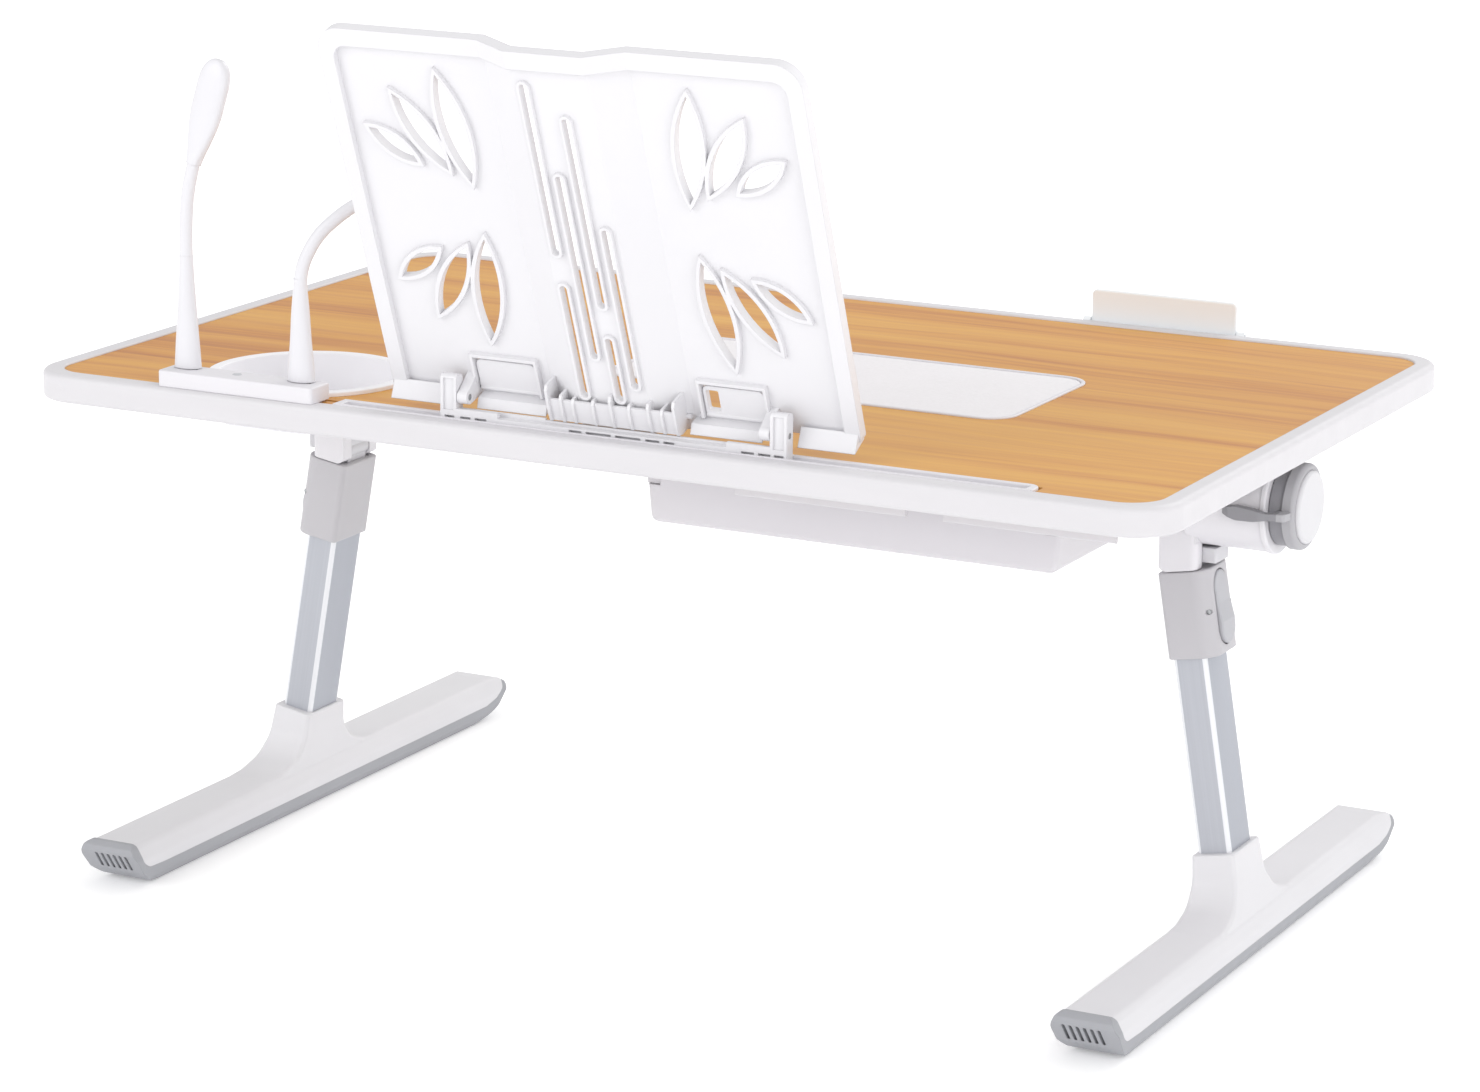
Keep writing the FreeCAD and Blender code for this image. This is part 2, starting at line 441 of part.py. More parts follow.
# ---------------------------------------------------------------- foot: white upper with the neck, grey sole with its two ends
FX = FOOT_X
SEC = [(-12.6, 0), (12.6, 0), (15.6, 4.5), (16.6, 15.0), (13.2, 22.9), (-13.2, 22.9), (-16.6, 15.0), (-15.6, 4.5)]
SEC_R = [2, 2, 6, 6, 4.5, 4.5, 6, 6]
section = prism_y([(FX + a, b) for a, b in SEC], -200, 220, SEC_R)
capsec = prism_y([(FX + a * 1.03, b * 1.03 - 0.1) for a, b in SEC], -200, -150, SEC_R)
profile = [(-174.6, 23.7), (-150.0, 23.8), (0.0, 23.8), (176.0, 23.2), (188.5, 22.0), (194.4, 18.6),
           (193.4, 14.6), (186.0, 7.0), (175.5, 2.6), (160.0, 0.0), (-150.0, 0.0), (-161.5, 1.6), (-169.6, 7.0), (-178.2, 18.4), (-178.0, 21.6)]
PROF_R = [1.2, 0, 0, 0, 3, 2.5, 3, 8, 8, 12, 12, 8, 6, 2.0, 1.2]
whole = prism_x(profile, FX - 20, FX + 20, PROF_R).common(section)
upper_region = prism_x([(-172.6, 30), (-172.2, 21.0), (-171.0, 14.2), (-164.5, 10.0), (-150.0, 9.4), (172.0, 9.4), (182.5, 11.6), (190.2, 16.6), (191.9, 24.0), (191.9, 30)],
                       FX - 20, FX + 20, [0, 4, 4, 6, 6, 6, 8, 4, 0, 0])
up_body = whole.common(upper_region)
sole = whole.cut(upper_region)
# the near end's cap stands a little proud of the foot, with six leaning vents
capbody = prism_x(profile, FX - 20, FX + 20, PROF_R).common(capsec).common(box(FX - 30, FX + 30, -200, -169.4, 0, 40))
capbody = capbody.cut(upper_region)
sole = fuse(sole, capbody)
near = prism_x([(-190, 5), (-190, 22), (-175.0, 18.6), (-166.6, 7.4)], FX - 20, FX + 20)
for k in range(6):
    x = FX - 10.6 + 3.5 * k
    sole = cut(sole, prism_y([(x, 9.0), (x + 1.7, 9.0), (x + 1.2, 18.0), (x - 0.5, 18.0)], -182.0, -166.0, 0.7).common(near))

neck_prof = [(-50, 15), (-50, 22.6), (-36.0, 23.6), (-22.0, 28.0), (-14.5, 38.0), (-12.0, 60), (22.0, 60), (24.5, 38.0), (32.0, 28.0), (46.0, 23.4), (58, 22.3), (58, 15)]
neck = prism_x(neck_prof, FX - 30, FX + 30, [0, 0, 25, 16, 14, 0, 0, 14, 16, 25, 0, 0])
neck = neck.common(prism_y([(FX - 13.4, 15), (FX + 13.4, 15), (FX + 13.4, 22), (FX + 9.6, 36), (FX + 6.0, 56), (FX - 15.6, 56), (FX - 14.0, 36), (FX - 13.4, 22)], -80, 80, [0, 0, 8, 0, 0, 0, 0, 0]))
neck = cut(neck, leg(box(-60, 60, -80, 80, U_NECK, 120)))
neck = round_edges(neck, 2.2, lambda e: e.BoundBox.ZMax > 45 and e.BoundBox.ZMin > 20 and e.BoundBox.ZLength > 8, "neck edges")
foot = fuse(up_body, neck)
foot = round_edges(foot, 0.9, lambda e: e.BoundBox.ZMin > 48 and e.Length > 5, "neck lip")
for y0, y1 in ((-150, -102), (-82, -45), (52, 98), (118, 165)):
    foot = cut(foot, box(FX - 11.5, FX + 11.5, y0, y1, 0, 20.0))
foot = cut(foot, leg(cut(tube_out, box(-50, 50, -50, 50, 100, 260))))
foot_screws = []
for y in (-92.0, 108.0):
    foot = cut(foot, cyl((FX, y, 0), (0, 0, 1), 1.7, 17.0))
    sole = cut(sole, cyl((FX, y, -1), (0, 0, 1), 3.3, 4.6), cyl((FX, y, 0), (0, 0, 1), 1.7, 12.0))
    s = fuse(cyl((FX, y, 1.4), (0, 0, 1), 3.1, 2.2), cyl((FX, y, 3.0), (0, 0, 1), 1.6, 13.0))
    s = cut(s, box(FX - 2.1, FX + 2.1, y - 0.4, y + 0.4, 1.0, 2.4), box(FX - 0.4, FX + 0.4, y - 2.1, y + 2.1, 1.0, 2.4))
    foot_screws.append(s)
both("foot_upper", foot)
both("foot_sole", sole)
both("foot_screws", Part.makeCompound(foot_screws))

NODES["top_board"] = board
NODES["edge_trim"] = trim
NODES["inset_pad"] = pad
NODES["pad_frame"] = pad_frame

# ---------------------------------------------------------------- book stand
def stand_wall(rear, x, v0, v1):
    """A wall that follows the panel's section: flat wings and a raised spine. rear is its depth behind the wings' face."""
    a = rear
    pts = [(-x, 3 - a), (-37 - 0.15 * a, 3 - a), (-19 - 0.2 * a, -5 - a), (19 + 0.2 * a, -5 - a), (37 + 0.15 * a, 3 - a), (x, 3 - a),
           (x, 5.5), (36, 5.5), (18, -2.5), (-18, -2.5), (-36, 5.5), (-x, 5.5)]
    return solid_of(rpoly([(p[0], p[1], v0) for p in pts], 0), (0, 0, v1 - v0))


def lens(cx, cz, length, width, ang, y0=-20, y1=20, grow=0.0):
    L, w = length / 2 + grow * 1.5, width / 2 + grow
    w_ = Part.Wire([Part.Arc(V(0, y0, -L), V(w, y0, 0), V(0, y0, L)).toShape(), Part.Arc(V(0, y0, L), V(-w, y0, 0), V(0, y0, -L)).toShape()])
    s = Part.Face(w_).extrude(V(0, y1 - y0, 0))
    s.rotate(V(0, 0, 0), V(0, 1, 0), ang)
    s.translate(V(cx, 0, cz))
    return s


def slot(cx, z0, z1, width, y0=-20, y1=20, grow=0.0):
    w = width / 2 + grow
    return solid_of(rpoly([(cx - w, y0, z0 - grow), (cx + w, y0, z0 - grow), (cx + w, y0, z1 + grow), (cx - w, y0, z1 + grow)], w - 0.02), (0, y1 - y0, 0))


outline = solid_of(rpoly([(-PW, -30, 0), (PW, -30, 0), (PW, -30, PH), (-PW, -30, PH)], [3, 3, 13, 13]), (0, 60, 0))
web = stand_wall(0.0, PW, 0.0, PH)
skirt_ = stand_wall(0.0, 37.6, -4.0, 0.2)
border = cut(stand_wall(3.0, PW, 0.0, PH), solid_of(rpoly([(-PW + 8, -30, -5), (PW - 8, -30, -5), (PW - 8, -30, PH - 9), (-PW + 8, -30, PH - 9)], [0, 0, 7, 7]), (0, 60, 0)))
# ribs on the spine's foot, and a raised edge round each page clip's window
ribs = [prism_x([(-8.2, -1.4), (-7.0, -1.8), (-7.0, 10.2), (-8.2, 10.2)], -34.0, 34.0)]
for x, top in ((-33.3, 17.0), (-26.4, 12.5), (-20.2, 11.0), (-9.6, 11.5), (0.0, 15.0), (9.4, 11.5), (19.6, 13.5), (26.4, 11.0), (33.3, 16.0)):
    t0 = -3.6 if abs(x) < 18.5 else (-2.4 if abs(x) < 22 else (-0.8 if abs(x) < 27 else 1.8))
    ribs.append(prism_x([(t0, -2.4), (-5.6, -2.4), (-8.8, -1.4), (-9.5, 3.0), (-9.1, top - 2.0), (-7.6, top), (t0, top)], x - 0.8, x + 0.8))
wins = []
for sx in (-1, 1):
    wins += [box(*sorted((sx * 41.8, sx * 77.0)), 0.4, 3.4, 22.2, 24.0), box(*sorted((sx * 41.8, sx * 43.4)), 0.4, 3.4, 3.5, 24.0),
             box(*sorted((sx * 76.2, sx * 77.8)), 0.4, 3.4, 8.0, 24.0)]
pn = fuse(web.common(outline), border.common(outline), skirt_, *ribs, *wins)

# leaf-shaped openings in fans of three, each with a raised edge on the back
LEAVES = []
for sx in (-1, 1):
    for cz in (143.0, 62.0):
        flip = 1 if cz > 100 else -1
        LEAVES += [(sx * 60.0, cz + 2.0 * flip, 56.0, 13.0, sx * 8.0 * flip),
                   (sx * 78.0, cz - 1.0 * flip, 44.0, 11.0, sx * 30.0 * flip),
                   (sx * 94.0, cz - 9.0 * flip, 28.0, 8.5, sx * 54.0 * flip)]
SLOTS = [(-14.0, 88.0, 176.0, 3.6), (-14.0, 12.0, 72.0, 3.6), (-4.6, 34.0, 130.0, 3.6), (4.6, 62.0, 160.0, 3.6), (4.6, 12.0, 46.0, 3.6), (14.0, 20.0, 104.0, 3.6)]
rims, holes = [], []
for cx, cz, ln, wd, an in LEAVES:
    rims.append(lens(cx, cz, ln, wd, an, 0.9, 4.0, 2.3))
    holes.append(lens(cx, cz, ln, wd, an))
for cx, z0, z1, wd in SLOTS:
    rims.append(slot(cx, z0, z1, wd, -6.6, -4.0, 1.5))
    holes.append(slot(cx, z0, z1, wd))
pn = fuse(pn, *rims)
# windows for the page clips
for sx in (-1, 1):
    holes.append(box(*sorted((sx * 43.5, sx * 76.0)), -20, 20, 3.0, 21.5))
pn = cut(pn, *holes)
strips = []
for sx in (-1, 1):
    for a, b in ((38.0, 75.0), (93.0, PW - 1.0)):
        st = prism_x([(-6.0, -1.8), (4.9, 0.0), (4.9, 2.6), (3.0, 3.0), (0.5, 5.6)] if a > 80 else [(-6.0, -1.8), (4.9, 0.0), (4.9, 2.6), (-3.0, 2.6)],
                     *sorted((sx * a, sx * b)), 0)
        strips.append(st)
ct, cv = -7.3, 4.95
c_, s_ = math.cos(math.radians(LEAN)), math.sin(math.radians(LEAN))
ct = (PIV_Y - YS) * c_ + (PIV_Z - ZS) * s_
cv = -(PIV_Y - YS) * s_ + (PIV_Z - ZS) * c_
lugs2, bores = [], []
for sx in (-1, 1):
    a, b = sorted((sx * 76.6, sx * 81.9))
    lugs2.append(fuse(prism_x([(ct, cv - 3.4), (4.5, 0.6), (4.5, 13.0), (ct, cv + 3.4)], a, b), cyl((a, ct, cv), (1, 0, 0), 3.4, b - a)))
    bores.append(cyl((a - 1, ct, cv), (1, 0, 0), 1.58, b - a + 2))
# small gusset joins the lugs to the strips
pn = fuse(pn, *strips, *lugs2)
pn = cut(pn, *bores, cyl((-36.45, 1.2, 3.2), (1, 0, 0), 1.32, 72.9))
# sockets for the page clips' pins and the cross rod
CLIP_T, CLIP_V = 3.6, 4.9
for sx in (-1, 1):
    pn = cut(pn, cyl((sx * 39.9, CLIP_T, CLIP_V), (sx, 0, 0), 0.86, 40.0))
NODES["stand_panel"] = panel(pn)
clips = {}
for side, sx in (("left", -1), ("right", 1)):
    a, b = sorted((sx * 44.0, sx * 75.5))
    c = solid_of(rpoly([(a, 2.1, CLIP_V), (b, 2.1, CLIP_V), (b, 2.1, 20.6), (a, 2.1, 20.6)], [0, 0, 3, 3]), (0, 3.0, 0))
    if sx > 0:
        c = cut(c, solid_of(rpoly([(a + 1.6, 0, 7.4), (a + 8.0, 0, 7.4), (a + 8.0, 0, 18.4), (a + 1.6, 0, 18.4)], 0.8), (0, 10, 0)))
    c = fuse(c, cyl((a, CLIP_T, CLIP_V), (1, 0, 0), 1.75, b - a))
    c = cut(c, cyl((a - 1, CLIP_T, CLIP_V), (1, 0, 0), 0.86, b - a + 2))
    NODES["page_clip_" + side] = panel(c)
NODES["page_clip_pins"] = panel(Part.makeCompound([cyl((sx * 41.6, CLIP_T, CLIP_V), (sx, 0, 0), 0.8, 36.4) for sx in (-1, 1)]))
NODES["stand_cross_rod"] = panel(cyl((-36.4, 1.2, 3.2), (1, 0, 0), 1.3, 72.8))

bar = box(XS - 91, XS + 91, -178.0, -171.7, 255.52, 266.0)
bar = cut(bar, *[box(XS + a, XS + b, -180, -170, 250, 260.5) for a, b in ((-78, -40), (40, 78))])
bar = cut(bar, *[box(XS + a, XS + b, -178.2, -175.0, 262.6, 265.0) for a, b in
                 ((-88.6, -83.4), (-80.2, -74.6), (-72.4, -66.0), (-21.9, -15.3), (-13.0, 0.2), (2.4, 15.7), (18.3, 25.6), (27.8, 33.4),
                  (67.7, 74.3), (76.5, 82.7), (84.5, 89.4))])
arms = []
for sx in (-1, 1):
    a, b = sorted((XS + sx * 82.3, XS + sx * 91.0))
    arm_ = prism_x([(-178.0, 265.9), (-171.7, 265.9), (-171.7, 284.5), (-178.0, 284.5)], a, b, [0, 0, 2.6, 2.6])
    # the arm's rear face is hollowed to a U
    arms.append(cut(arm_, box(a + 1.7, b - 1.7, -179.0, -177.0, 267.6, 282.6)))
    arms.append(box(*sorted((XS + sx * 82.3, XS + sx * 60.0)), -178.0, -175.6, 265.9, 268.5))
# a low wall along the bar closes most of the gap under the panel
base = fuse(bar, *arms, box(XS - 91, XS - 37, -173.0, -171.7, 265.9, 267.9), box(XS - 37, XS + 91, -173.0, -171.7, 265.9, 267.0))
bores = [cyl((XS - 95, PIV_Y, PIV_Z), (1, 0, 0), 1.52, 14.0), cyl((XS + 81, PIV_Y, PIV_Z), (1, 0, 0), 1.52, 14.0)]
NODES["stand_base"] = cut(base, *bores)
NODES["stand_pivot_pins"] = Part.makeCompound([cyl((XS - 90.8, PIV_Y, PIV_Z), (1, 0, 0), 1.5, 14.0), cyl((XS + 76.8, PIV_Y, PIV_Z), (1, 0, 0), 1.5, 14.0)])

# ---------------------------------------------------------------- lamps
def lamp_head(base, direction, face, length=52.0, wide=17.6, thick=7.0, stem=6.6):
    """A flat paddle: base point, long axis, and the way its light faces."""
    a = V(*direction).normalize()
    f = V(*face)
    f = (f - a * a.dot(f)).normalize()
    b = a.cross(f)
    rings, n = [], 16
    for i in range(n + 1):
        t = 0.5 - 0.5 * math.cos(math.pi * i / n) if i > n / 2 else i / n
        w = stem / 2 + (wide / 2 - stem / 2) * (math.sin(min(1.0, t / 0.55) * math.pi / 2) ** 1.3)
        h = thick / 2
        if t > 0.74:
            q = (t - 0.74) / 0.26
            w *= math.sqrt(max(0.0, 1 - (q * 0.965) ** 2.4))
            h *= math.sqrt(max(0.0, 1 - (q * 0.90) ** 4))
        ring = []
        for k in range(20):
            g = 2 * math.pi * (k + 0.5) / 20
            cx, cy = math.cos(g), math.sin(g)
            p, e = 2.0 / 2.6, 1
            u = math.copysign(abs(cx) ** p, cx) * w
            v = math.copysign(abs(cy) ** (2.0 / 3.2), cy) * h
            ring.append(V(*base) + a * (t * length) + b * u + f * v)
        c = Part.BSplineCurve()
        c.interpolate(ring, PeriodicFlag=True)
        rings.append(Part.Wire([c.toShape()]))
    s = Part.makeLoft(rings, True, False)
    return s, a, b, f


LAMPS = {
    "left": dict(x=PORT_X[0],
                 path=[(PORT_X[0], LAMP_Y, 322.0), (PORT_X[0], LAMP_Y, 340.0), (-211.3, LAMP_Y + 0.5, 358.0), (-207.2, LAMP_Y + 1.5, 375.5)],
                 head=(0.25, 0.10, 1.0), face=(0.1, 1.0, -0.1)),
    "right": dict(x=PORT_X[1],
                  path=[(PORT_X[1], LAMP_Y, 317.0), (-147.6, LAMP_Y, 327.0), (-140.2, -173.0, 343.0), (-126.5, -166.0, 356.5), (-111.5, -154.0, 365.0), (-99.0, -143.0, 367.0)],
                  head=(0.82, 0.55, -0.12), face=(0.1, 0.25, -1.0)),
}
for side, q in LAMPS.items():
    x = q["x"]
    NODES["lamp_plug_" + side] = box(x - 6.0, x + 6.0, LAMP_Y - 2.25, LAMP_Y + 2.25, 259.4, HUB_Z + 1.0)
    z1 = q["path"][0][2]
    rings = []
    for z, rx, ry in ((HUB_Z + 0.3, 7.2, 4.8), (HUB_Z + 13, 6.2, 4.5), (HUB_Z + 26, 5.1, 4.2), (HUB_Z + 37, 4.2, 4.0), (z1 - 1, 3.55, 3.5), (z1 + 5, 3.32, 3.3)):
        e = Part.Ellipse(V(x, LAMP_Y, z), rx, ry) if rx > ry else Part.Circle(V(x, LAMP_Y, z), V(0, 0, 1), rx)
        rings.append(Part.Wire([e.toShape()]))
    socket = Part.makeLoft(rings, True, False)
    neck_pipe = pipe([(x, LAMP_Y, z1 - 6.0)] + q["path"][1:], 3.2)
    stem = fuse(socket, neck_pipe)
    stem = cut(stem, box(x - 6.05, x + 6.05, LAMP_Y - 2.3, LAMP_Y + 2.3, 250, HUB_Z + 1.05))
    last, prev = V(*q["path"][-1]), V(*q["path"][-2])
    d = (last - prev).normalize()
    base_pt = last - d * 4.0
    head, a, b, f = lamp_head(base_pt, q["head"], q["face"])
    stem = stem.cut(head)
    solids = sorted(stem.Solids, key=lambda s: -s.Volume)
    NODES["lamp_stem_" + side] = solids[0]
    # the diffuser fills a shallow window in the lit face
    def window(y0, y1, grow):
        L0, L1, wd = 17.0 - grow, 46.0 + grow, 5.6 + grow
        pts = [base_pt + b * sgn * wd + a * t + f * y0 for sgn, t in ((-1, L0), (1, L0), (1, L1), (-1, L1))]
        return Part.Face(rpoly([(p.x, p.y, p.z) for p in pts], 3.4)).extrude(f * (y1 - y0))
    NODES["lamp_head_" + side] = cut(head, window(1.7, 8.0, 0.15))
    NODES["lamp_diffuser_" + side] = window(1.75, 3.2, 0.0)

# ---------------------------------------------------------------- shift to the frame: middle of the bounding box, on the floor
def tight(s):
    b = s.BoundBox
    try:
        o = s.optimalBoundingBox(False, False)
        return [o.XMin, o.XMax, o.YMin, o.YMax, o.ZMin, o.ZMax]
    except Exception:
        return [b.XMin, b.XMax, b.YMin, b.YMax, b.ZMin, b.ZMax]


EXT = [tight(NODES[n]) for n in ("edge_trim", "stopper_plate", "stopper_lugs", "stand_panel", "foot_sole_left", "foot_sole_right", "knob_cap_left", "knob_cap_right", "lamp_head_left")]
x0, x1 = min(e[0] for e in EXT), max(e[1] for e in EXT)
y0, y1 = min(e[2] for e in EXT), max(e[3] for e in EXT)
z0, z1 = min(e[4] for e in EXT), max(e[5] for e in EXT)
SHIFT = V(-(x0 + x1) / 2, -(y0 + y1) / 2, -z0)
total = 0
for name, s in sorted(NODES.items()):
    s = s.copy()
    s.translate(SHIFT)
    n = len(s.Solids)
    total += n
    ok = s.isValid()
    if not ok:
        print("INVALID", name)
    if n == 0:
        print("EMPTY", name)
    if n == 1 and s.ShapeType != "Solid":
        s = s.Solids[0]
    s.exportStep("parts/" + name + ".step")
print("nodes", len(NODES), "solids", total)
info = {"shift": [SHIFT.x, SHIFT.y, SHIFT.z], "bbox": [x0, x1, y0, y1, z0, z1],
        "solids": {k: len(s.Solids) for k, s in NODES.items()},
        "volume_cm3": {k: round(s.Volume / 1000, 2) for k, s in NODES.items()}}
print("INFO " + json.dumps(info))
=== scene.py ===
import bpy, bmesh, math, random
from mathutils import Vector, Matrix


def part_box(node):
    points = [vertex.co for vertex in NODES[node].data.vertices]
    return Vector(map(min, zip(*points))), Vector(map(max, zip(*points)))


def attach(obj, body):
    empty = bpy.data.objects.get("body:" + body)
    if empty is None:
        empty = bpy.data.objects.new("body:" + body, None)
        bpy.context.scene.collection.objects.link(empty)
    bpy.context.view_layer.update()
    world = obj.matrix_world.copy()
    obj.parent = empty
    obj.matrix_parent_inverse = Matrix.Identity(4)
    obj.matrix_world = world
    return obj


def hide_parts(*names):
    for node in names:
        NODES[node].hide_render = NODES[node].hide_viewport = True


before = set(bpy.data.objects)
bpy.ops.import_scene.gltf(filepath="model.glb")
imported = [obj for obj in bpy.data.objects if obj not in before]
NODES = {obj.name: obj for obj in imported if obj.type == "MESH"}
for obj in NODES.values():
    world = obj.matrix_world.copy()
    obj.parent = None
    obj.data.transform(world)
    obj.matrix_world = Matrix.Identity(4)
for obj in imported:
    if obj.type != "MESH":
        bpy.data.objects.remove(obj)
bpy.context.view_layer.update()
random.seed(7)
DY = 0.02396683                     # the CAD model's shift along Y


# ---------------------------------------------------------------- materials
def srgb(r, g, b):
    def f(c):
        c /= 255.0
        return c / 12.92 if c <= 0.04045 else ((c + 0.055) / 1.055) ** 2.4
    return (f(r), f(g), f(b), 1.0)


class Mat:
    """A node material being put together."""

    def __init__(self, name):
        self.m = bpy.data.materials.new(name)
        self.m.use_nodes = True
        self.t = self.m.node_tree
        self.t.nodes.clear()
        self.out = self.t.nodes.new("ShaderNodeOutputMaterial")
        self.b = self.t.nodes.new("ShaderNodeBsdfPrincipled")
        self.link(self.b.outputs[0], self.out.inputs["Surface"])
        self.co = self.t.nodes.new("ShaderNodeTexCoord").outputs["Object"]

    def link(self, a, b):
        self.t.links.new(a, b)

    def set(self, **k):
        for n, v in k.items():
            self.b.inputs[n.replace("_", " ")].default_value = v
        return self

    def mapped(self, scale, rot=(0, 0, 0), loc=(0, 0, 0), co=None):
        n = self.t.nodes.new("ShaderNodeMapping")
        n.inputs["Scale"].default_value = scale
        n.inputs["Rotation"].default_value = rot
        n.inputs["Location"].default_value = loc
        self.link(co or self.co, n.inputs["Vector"])
        return n.outputs[0]

    def noise(self, scale, detail=4.0, rough=0.55, vec=None, distortion=0.0):
        n = self.t.nodes.new("ShaderNodeTexNoise")
        n.inputs["Scale"].default_value = scale
        n.inputs["Detail"].default_value = detail
        n.inputs["Roughness"].default_value = rough
        n.inputs["Distortion"].default_value = distortion
        self.link(vec or self.co, n.inputs["Vector"])
        return n.outputs["Fac"]

    def voronoi(self, scale, vec=None, feature="F1"):
        n = self.t.nodes.new("ShaderNodeTexVoronoi")
        n.feature = feature
        n.inputs["Scale"].default_value = scale
        self.link(vec or self.co, n.inputs["Vector"])
        return n.outputs["Distance"]

    def ramp(self, fac, stops):
        n = self.t.nodes.new("ShaderNodeValToRGB")
        el = n.color_ramp.elements
        while len(el) < len(stops):
            el.new(0.5)
        for e, (p, c) in zip(el, stops):
            e.position = p
            e.color = c if len(c) == 4 else (*c, 1)
        self.link(fac, n.inputs[0])
        return n.outputs[0]

    def math(self, op, a, b=None, clamp=False):
        n = self.t.nodes.new("ShaderNodeMath")
        n.operation = op
        n.use_clamp = clamp
        for i, v in enumerate((a, b)):
            if v is None:
                continue
            if isinstance(v, (int, float)):
                n.inputs[i].default_value = v
            else:
                self.link(v, n.inputs[i])
        return n.outputs[0]

    def mix(self, fac, a, b, mode="MIX"):
        n = self.t.nodes.new("ShaderNodeMix")
        n.data_type = "RGBA"
        n.blend_type = mode
        for sock, v in ((n.inputs[0], fac), (n.inputs[6], a), (n.inputs[7], b)):
            if isinstance(v, (int, float)):
                sock.default_value = v
            elif isinstance(v, tuple):
                sock.default_value = v
            else:
                self.link(v, sock)
        return n.outputs[2]

    def span(self, v, lo, hi):
        n = self.t.nodes.new("ShaderNodeMapRange")
        n.inputs["To Min"].default_value = lo
        n.inputs["To Max"].default_value = hi
        self.link(v, n.inputs[0])
        return n.outputs[0]

    def bump(self, height, strength, distance=0.0003, normal=None):
        n = self.t.nodes.new("ShaderNodeBump")
        n.inputs["Strength"].default_value = strength
        n.inputs["Distance"].default_value = distance
        self.link(height, n.inputs["Height"])
        if normal is not None:
            self.link(normal, n.inputs["Normal"])
        return n.outputs[0]

    def edge(self, radius):
        n = self.t.nodes.new("ShaderNodeBevel")
        n.samples = 6
        n.inputs["Radius"].default_value = radius
        return n.outputs[0]

    def color(self, v):
        self.link(v, self.b.inputs["Base Color"])

    def rough(self, v):
        self.link(v, self.b.inputs["Roughness"])

    def normal(self, v):
        self.link(v, self.b.inputs["Normal"])


def moulded(name, rgb, rough=0.42, grain=0.10, edge=0.0005, tone=0.025, spec=0.5, flow=(1, 1, 1)):
    """Moulded plastic: fine spark-eroded grain, slow tone change, softened edges."""
    k = Mat(name)
    c = srgb(*rgb)
    dark = tuple(max(0, v * (1 - 2.2 * tone)) for v in c[:3]) + (1,)
    light = tuple(min(1, v * (1 + tone)) for v in c[:3]) + (1,)
    big = k.noise(14, 3, 0.5, k.mapped(flow))
    fine = k.noise(1900, 3, 0.6)
    k.color(k.mix(k.math("ADD", k.math("MULTIPLY", big, 0.8), k.math("MULTIPLY", fine, 0.2)), dark, light))
    k.rough(k.span(k.noise(60, 4, 0.6), rough - 0.06, rough + 0.07))
    nb = k.bump(fine, grain, 0.00012, k.edge(edge))
    nb = k.bump(k.noise(34, 2, 0.4, k.mapped(flow)), 0.06, 0.0012, nb)
    k.normal(nb)
    k.set(Specular_IOR_Level=spec)
    return k.m


def wood():
    k = Mat("oak_laminate")
    # slow wander of the grain lines
    wander = k.noise(2.6, 3, 0.5, k.mapped((0.8, 2.2, 2.2)))
    sep = k.t.nodes.new("ShaderNodeSeparateXYZ")
    k.link(k.co, sep.inputs[0])
    comb = k.t.nodes.new("ShaderNodeCombineXYZ")
    k.link(sep.outputs[0], comb.inputs[0])
    k.link(k.math("ADD", sep.outputs[1], k.math("MULTIPLY", wander, 0.055)), comb.inputs[1])
    k.link(sep.outputs[2], comb.inputs[2])
    bent = comb.outputs[0]
    bands = k.noise(1.0, 5, 0.62, k.mapped((1.5, 34, 1), co=bent))
    streak = k.noise(1.0, 6, 0.66, k.mapped((5.0, 210, 1), co=bent))
    fibre = k.noise(1.0, 3, 0.7, k.mapped((26, 1500, 1), co=bent))
    pores = k.voronoi(1.0, k.mapped((110, 1500, 1), co=bent))
    tone = k.math("ADD", k.math("MULTIPLY", bands, 0.58), k.math("MULTIPLY", streak, 0.42))
    col = k.ramp(tone, [(0.33, srgb(168, 97, 33)), (0.43, srgb(196, 128, 48)), (0.50, srgb(213, 151, 60)),
                        (0.57, srgb(221, 164, 68)), (0.68, srgb(230, 177, 78))])
    col = k.mix(k.span(fibre, 0.0, 0.38), col, srgb(184, 118, 48), "MIX")
    pm = k.ramp(pores, [(0.02, (1, 1, 1, 1)), (0.16, (0, 0, 0, 1))])
    bw = k.t.nodes.new("ShaderNodeRGBToBW")
    k.link(pm, bw.inputs[0])
    pore = k.math("MULTIPLY", bw.outputs[0], streak)
    col = k.mix(k.math("MULTIPLY", pore, 0.7), col, srgb(150, 92, 42))
    # the underside has a plain backing sheet
    low = k.math("LESS_THAN", sep.outputs[2], 0.2515)
    col = k.mix(low, col, k.mix(k.noise(40, 4, 0.6), srgb(214, 210, 204), srgb(224, 221, 216)))
    k.color(col)
    k.rough(k.span(streak, 0.34, 0.50))
    h = k.math("SUBTRACT", k.math("MULTIPLY", fibre, 0.5), k.math("MULTIPLY", pore, 1.0))
    k.normal(k.bump(h, 0.10, 0.0002, k.edge(0.0003)))
    k.set(Specular_IOR_Level=0.42, Coat_Weight=0.04, Coat_Roughness=0.4)
    return k.m


def leatherette():
    k = Mat("pad_leatherette")
    cell = k.voronoi(520)
    fine = k.noise(1500, 4, 0.6)
    col = k.mix(k.noise(30, 4, 0.6), srgb(231, 228, 230), srgb(240, 237, 240))
    k.color(k.mix(k.math("MULTIPLY", cell, 0.35, True), col, srgb(222, 219, 220)))
    k.rough(k.span(fine, 0.50, 0.66))
    k.normal(k.bump(k.math("ADD", cell, k.math("MULTIPLY", fine, 0.4)), 0.22, 0.0003, k.edge(0.0004)))
    k.set(Sheen_Weight=0.12, Sheen_Roughness=0.5)
    return k.m


